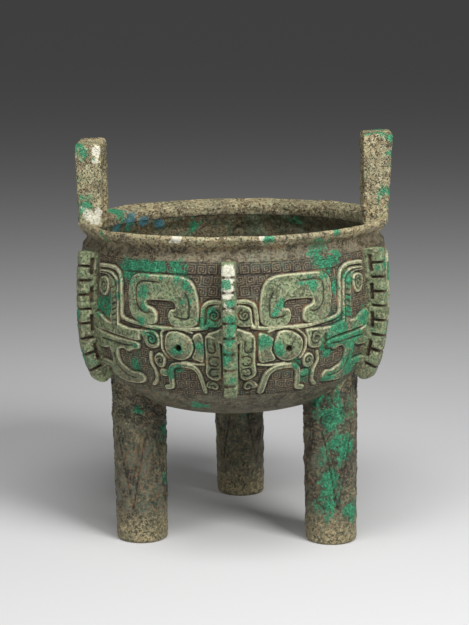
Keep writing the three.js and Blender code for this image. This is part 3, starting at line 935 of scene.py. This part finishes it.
def makeEar(name):
    one = ear[name]
    half = ear["width"] / 2
    opening = half - ear["bar"]
    # matched outer and inner outlines of the loop, from the front foot over the top to the back foot
    outline = [(-half, ear["rootZ"]), (-half, one["topZ"]), (half, one["topZ"]), (half, ear["rootZ"])]
    outerY, outerZ, at = latheRows(cornered(outline, one["corner"]), 0.9)
    archZ = ear["archTop"] - opening
    turn = np.linspace(0, math.pi, 12)
    innerY = np.concatenate(([-opening], -opening * np.cos(turn), [opening]))
    innerZ = np.concatenate(([ear["rootZ"]], archZ + opening * np.sin(turn), [ear["rootZ"]]))
    length = np.concatenate(([0], np.cumsum(np.hypot(np.diff(innerY), np.diff(innerZ)))))
    share = at / at[-1] * length[-1]
    innerY, innerZ = np.interp(share, length, innerY), np.interp(share, length, innerZ)
    # section: a rounded rectangle, a runs from the outer outline to the inner one, b from the inside face out
    corners = [(0, 0), (1, 0), (1, 1), (0, 1)]
    steps = 18
    section = []
    for k, (a, b) in enumerate(corners):
        na, nb = corners[(k + 1) % 4]
        section += [(a + (na - a) * t, b + (nb - b) * t) for t in np.arange(steps) / steps]
    a, b = np.asarray(section).T[:, None, :]
    y = outerY[:, None] * (1 - a) + innerY[:, None] * a
    z = outerZ[:, None] * (1 - a) + innerZ[:, None] * a
    footZ = vessel["lipTop"] - vessel["lipDish"]
    innerX = np.interp(z, (ear["rootZ"], footZ), (vessel["neckRadius"] - vessel["wall"] + 1.2, one["inner"]))
    levels = (ear["rootZ"], vessel["lipEdge"], one["topZ"])
    outerX = np.interp(z, levels, (vessel["neckRadius"] - 2, one["baseOuter"], one["topOuter"]))
    thick = outerX - innerX
    x = innerX + thick * b
    # soften the edges of the section by pulling its corners in
    nearA = np.minimum(a, 1 - a) * ear["bar"]
    nearB = np.minimum(b, 1 - b) * thick
    pull = np.clip(1 - np.hypot(nearA, nearB) / ear["round"], 0, 1) ** 1.5 * ear["round"] * 0.42
    middleY, middleZ = (outerY + innerY)[:, None] / 2, (outerZ + innerZ)[:, None] / 2
    toward = np.stack((innerX + thick / 2 - x, middleY - y, middleZ - z), -1)
    toward /= np.linalg.norm(toward, axis=-1)[..., None] + 1e-6
    points = np.stack((x, y, z), -1) + toward * pull[..., None]
    tipped = one["tilt"] * smooth(ear["tiltFrom"], one["topZ"], points[..., 2])
    points[..., 2] -= tipped * (points[..., 1] + half) / ear["width"]
    wear = 0.3 * middleRipple(points * one["side"]) + 0.2 * fineRipple(points * one["side"])
    points = points - toward * wear[..., None]
    if one["side"] < 0:
        points = points * np.array((-1, -1, 1))
    marks = {"raised": 0.95, "verdigris": patchField(points, earGreen), "chalk": patchField(points, earChalk)}
    gridPiece("ear" + name.capitalize(), points, crustBronze, marks, wrap=True)


earGreen = [
    (99, -18, 253, 9), (92, -12, 255, 6), (86, -14, 254, 5), (92, 12, 255, 10), (101, -14, 240, 7),
    (100, -12, 214, 10), (-97, -17, 250, 8), (-92, -18, 244, 7), (-99, 0, 240, 9), (-92, 20, 252, 7),
    (100, 18, 232, 7), (-99, 18, 215, 6), (-99, -8, 215, 12),
]
earChalk = [
    (-86, -19, 203, 5), (-90, -19, 206, 5), (-93, -19, 210, 3.5), (-84, -19, 208, 4), (-84, -19, 246, 5),
    (-85, -19, 240, 3),
]
for name in ("left", "right"):
    makeEar(name)
print("handles cast")


# floor, lights and camera
studio = {
    "aim": (0.0002, 0.0, 0.1393),
    "distance": 1.0776,
    "elevation": 10.582,
    "azimuth": 1.639,
    "lens": 96.23,
    "floor": 0.6,
    "room": 0.05,
}


lights = {
    "key": {"place": (0.75, -0.8, 1.0), "target": (0, 0, 0.1), "size": 0.55, "power": 19},
    "fill": {"place": (-0.9, -0.9, 0.6), "target": (0, 0, 0.1), "size": 0.8, "power": 5.5},
    "top": {"place": (0.0, -0.4, 1.1), "target": (0, -0.1, 0.1), "size": 0.5, "power": 7},
}


def makeStage():
    bpy.context.scene.view_settings.view_transform = "Standard"
    reach = 900.0
    mesh = bpy.data.meshes.new("floor")
    corners = [(-reach, -reach, 0), (reach, -reach, 0), (reach, reach, 0), (-reach, reach, 0)]
    mesh.from_pydata(corners, [], [(0, 1, 2, 3)])
    floor = bpy.data.objects.new("floor", mesh)
    bpy.context.collection.objects.link(floor)
    material = bpy.data.materials.new("floorPaper")
    material.use_nodes = True
    shader = material.node_tree.nodes["Principled BSDF"]
    shader.inputs["Base Color"].default_value = (*[studio["floor"]] * 3, 1)
    shader.inputs["Roughness"].default_value = 0.9
    shader.inputs["Specular IOR Level"].default_value = 0.0
    # far away the floor is as bright as the room behind it
    shader.inputs["Emission Color"].default_value = (1, 1, 1, 1)
    shader.inputs["Emission Strength"].default_value = (1 - studio["floor"]) * studio["room"]
    mesh.materials.append(material)
    world = bpy.data.worlds.new("studio")
    world.use_nodes = True
    world.node_tree.nodes["Background"].inputs[0].default_value = (1, 1, 1, 1)
    world.node_tree.nodes["Background"].inputs[1].default_value = studio["room"]
    bpy.context.scene.world = world


def facing(direction):
    return Vector(direction).to_track_quat("-Z", "Y").to_euler()


def areaLight(name, place, target, size, power):
    data = bpy.data.lights.new(name, "AREA")
    data.shape = "RECTANGLE"
    data.size, data.size_y = size
    data.energy = power
    lamp = bpy.data.objects.new(name, data)
    bpy.context.collection.objects.link(lamp)
    lamp.location = place
    direction = np.array(target) - np.array(place)
    lamp.rotation_euler = facing(direction)
    return lamp


def makeCamera():
    data = bpy.data.cameras.new("camera")
    data.lens = studio["lens"]
    data.sensor_width = 36
    camera = bpy.data.objects.new("camera", data)
    bpy.context.collection.objects.link(camera)
    e, a = math.radians(studio["elevation"]), math.radians(studio["azimuth"])
    aim = np.array(studio["aim"])
    away = np.array((math.sin(a) * math.cos(e), -math.cos(a) * math.cos(e), math.sin(e)))
    camera.location = aim + studio["distance"] * away
    camera.rotation_euler = facing(-away)
    bpy.context.scene.camera = camera


makeStage()
for name, lamp in lights.items():
    areaLight(name, lamp["place"], lamp["target"], (lamp["size"], lamp["size"]), lamp["power"])
makeCamera()
print("studio set")
